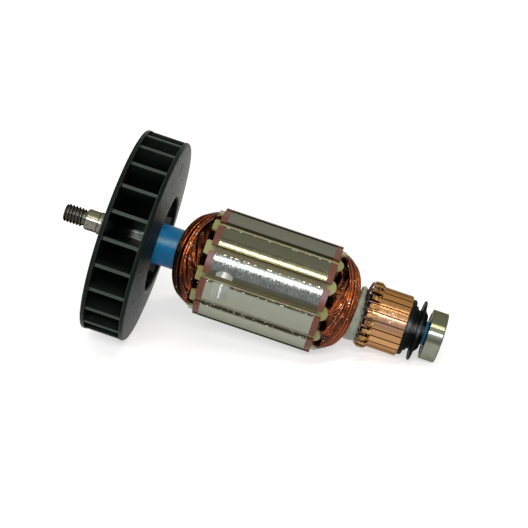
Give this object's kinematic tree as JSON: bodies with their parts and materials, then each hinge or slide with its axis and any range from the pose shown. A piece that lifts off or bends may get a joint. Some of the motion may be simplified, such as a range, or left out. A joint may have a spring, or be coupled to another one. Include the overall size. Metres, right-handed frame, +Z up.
{
  "type": "motor armature",
  "caption": "Wound armature of a small hand tool motor: threaded shaft, cooling fan, slotted core with coils, commutator, rubber ring and ball bearing.",
  "frame": {"origin": "on the ground under the middle of the armature's box", "axes": "+Z up, +X towards the bearing end along the armature as it lies on its fan rim and its bearing, with the shaft line in the XZ plane and tilted down by 14.7 degrees towards +X"},
  "size_m": [0.1464, 0.078, 0.0792],
  "materials": {
    "turned_steel": "turned, slightly oily",
    "lamination_steel": "varnished sheet edges",
    "blue_insulation": "smooth",
    "fan_plastic": "moulded, slightly dusty",
    "fibre_plate": "dull",
    "slot_paper": "varnished",
    "wedge_fibre": "varnished",
    "enamelled_wire": "varnished copper",
    "bare_copper": "turned",
    "mica": "dull",
    "black_moulding": "dull",
    "neck_tape": "resin coated",
    "rubber": "dull",
    "bearing_steel": "ground",
    "bearing_shield": "pressed",
    "cage_plastic": "moulded"
  },
  "bodies": {
    "rotor": {"shaft": "turned_steel", "shaft_insulation": "blue_insulation", "fan": "fan_plastic", "lamination_stack": "lamination_steel", "end_plate_drive": "fibre_plate", "end_plate_far": "fibre_plate", "slot_liners": "slot_paper", "slot_wedges": "wedge_fibre", "coil_01": "enamelled_wire", "coil_02": "enamelled_wire", "coil_03": "enamelled_wire", "coil_04": "enamelled_wire", "coil_05": "enamelled_wire", "coil_06": "enamelled_wire", "coil_07": "enamelled_wire", "coil_08": "enamelled_wire", "coil_09": "enamelled_wire", "coil_10": "enamelled_wire", "coil_11": "enamelled_wire", "coil_12": "enamelled_wire", "commutator_bars": "bare_copper", "mica_strips": "mica", "commutator_body": "black_moulding", "lead_wires": "enamelled_wire", "neck_band": "neck_tape", "dust_ring": "rubber", "bearing_inner_race": "bearing_steel"},
    "bearing_outer": {"bearing_outer_race": "bearing_steel", "bearing_shield_near": "bearing_shield", "bearing_shield_far": "bearing_shield"},
    "bearing_cage": {"bearing_cage": "cage_plastic", "bearing_balls": "bearing_steel"}
  },
  "joints": [
    {"name": "bearing_spin", "type": "hinge", "parent": "rotor", "child": "bearing_outer", "pos_m": [0.06797, 0, 0.00986], "axis": [0.9671, 0, -0.2542], "continuous": true},
    {"name": "cage_spin", "type": "hinge", "parent": "rotor", "child": "bearing_cage", "pos_m": [0.06797, 0, 0.00986], "axis": [0.9671, 0, -0.2542], "continuous": true}
  ],
  "couplings": [
    {"joint": "cage_spin", "follows": "bearing_spin", "ratio": 0.63462}
  ]
}
